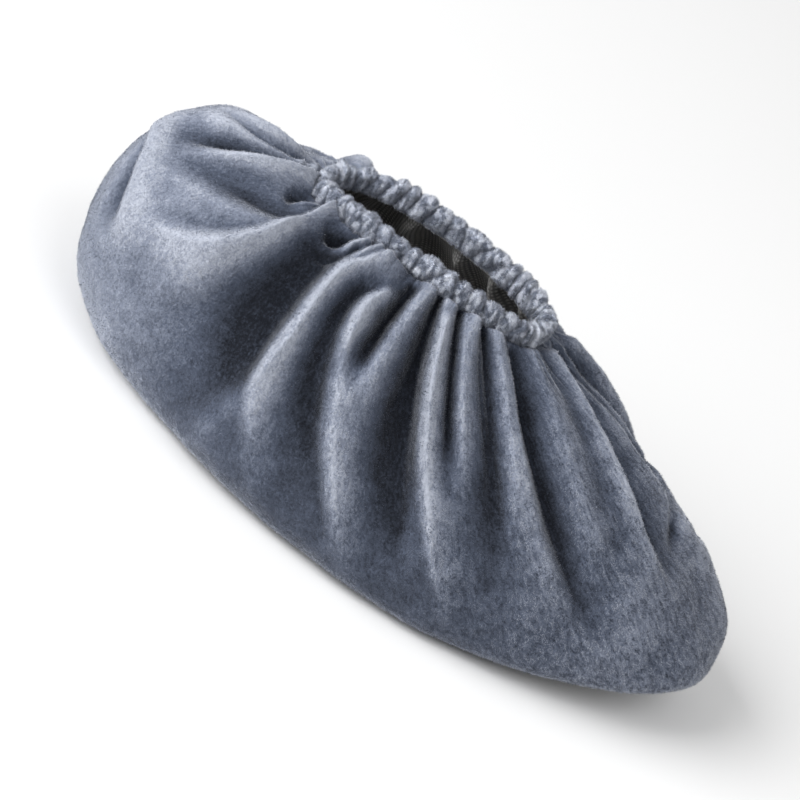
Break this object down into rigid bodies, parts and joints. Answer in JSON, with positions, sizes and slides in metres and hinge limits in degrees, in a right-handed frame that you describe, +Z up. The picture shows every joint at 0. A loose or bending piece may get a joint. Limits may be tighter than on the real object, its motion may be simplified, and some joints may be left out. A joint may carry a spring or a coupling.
{
  "type": "reusable shoe cover",
  "caption": "Slip-on velvet cover for a shoe: a hollow gathered upper with an elastic collar, closed underneath by a thin non-slip sole with a toe spring.",
  "frame": {"origin": "middle of the bounding box on the floor under the sole", "axes": "+X from heel to toe, +Y to the wearer's left, +Z up"},
  "size_m": [0.3032, 0.1474, 0.1109],
  "materials": {
    "velvet": "short brushed pile with a soft sheen",
    "casing_velvet": "gathered pile, fuzzy",
    "sole_rubber": "matte non-slip coating",
    "woven_backing": "coarse plain weave"
  },
  "bodies": {
    "root": {"upper": "velvet", "collar_casing": "casing_velvet", "sole": "sole_rubber", "insole": "woven_backing"}
  },
  "joints": []
}
